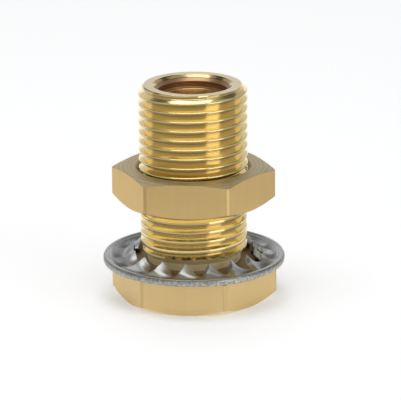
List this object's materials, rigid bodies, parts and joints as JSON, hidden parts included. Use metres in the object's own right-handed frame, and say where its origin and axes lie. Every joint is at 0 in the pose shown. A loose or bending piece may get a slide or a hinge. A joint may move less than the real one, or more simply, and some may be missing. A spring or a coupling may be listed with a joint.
{
  "type": "tank connector",
  "caption": "Brass tank connector: hex-headed threaded fitting with a through bore, a hex backnut on its stem and a toothed steel washer on its head.",
  "frame": {"origin": "on the stem's axis, at the middle of the head's underside", "axes": "+Z along the stem towards its free end, +X through a corner of the hex head"},
  "size_m": [0.035, 0.035, 0.042],
  "materials": {
    "body_brass": "turned and milled brass, polished thread, satin hex flats",
    "nut_brass": "satin brass with fine turning marks on the end faces",
    "washer_steel": "bright spring steel, stamped, with a rough sheared rim"
  },
  "bodies": {
    "fitting": {"fitting_body": "body_brass", "toothed_washer": "washer_steel"},
    "nut": {"backnut": "nut_brass"}
  },
  "joints": [
    {"name": "backnut_travel", "type": "slide", "parent": "fitting", "child": "nut", "axis": [0, 0, 1], "range_m": [-0.00907, 0.02177]}
  ]
}
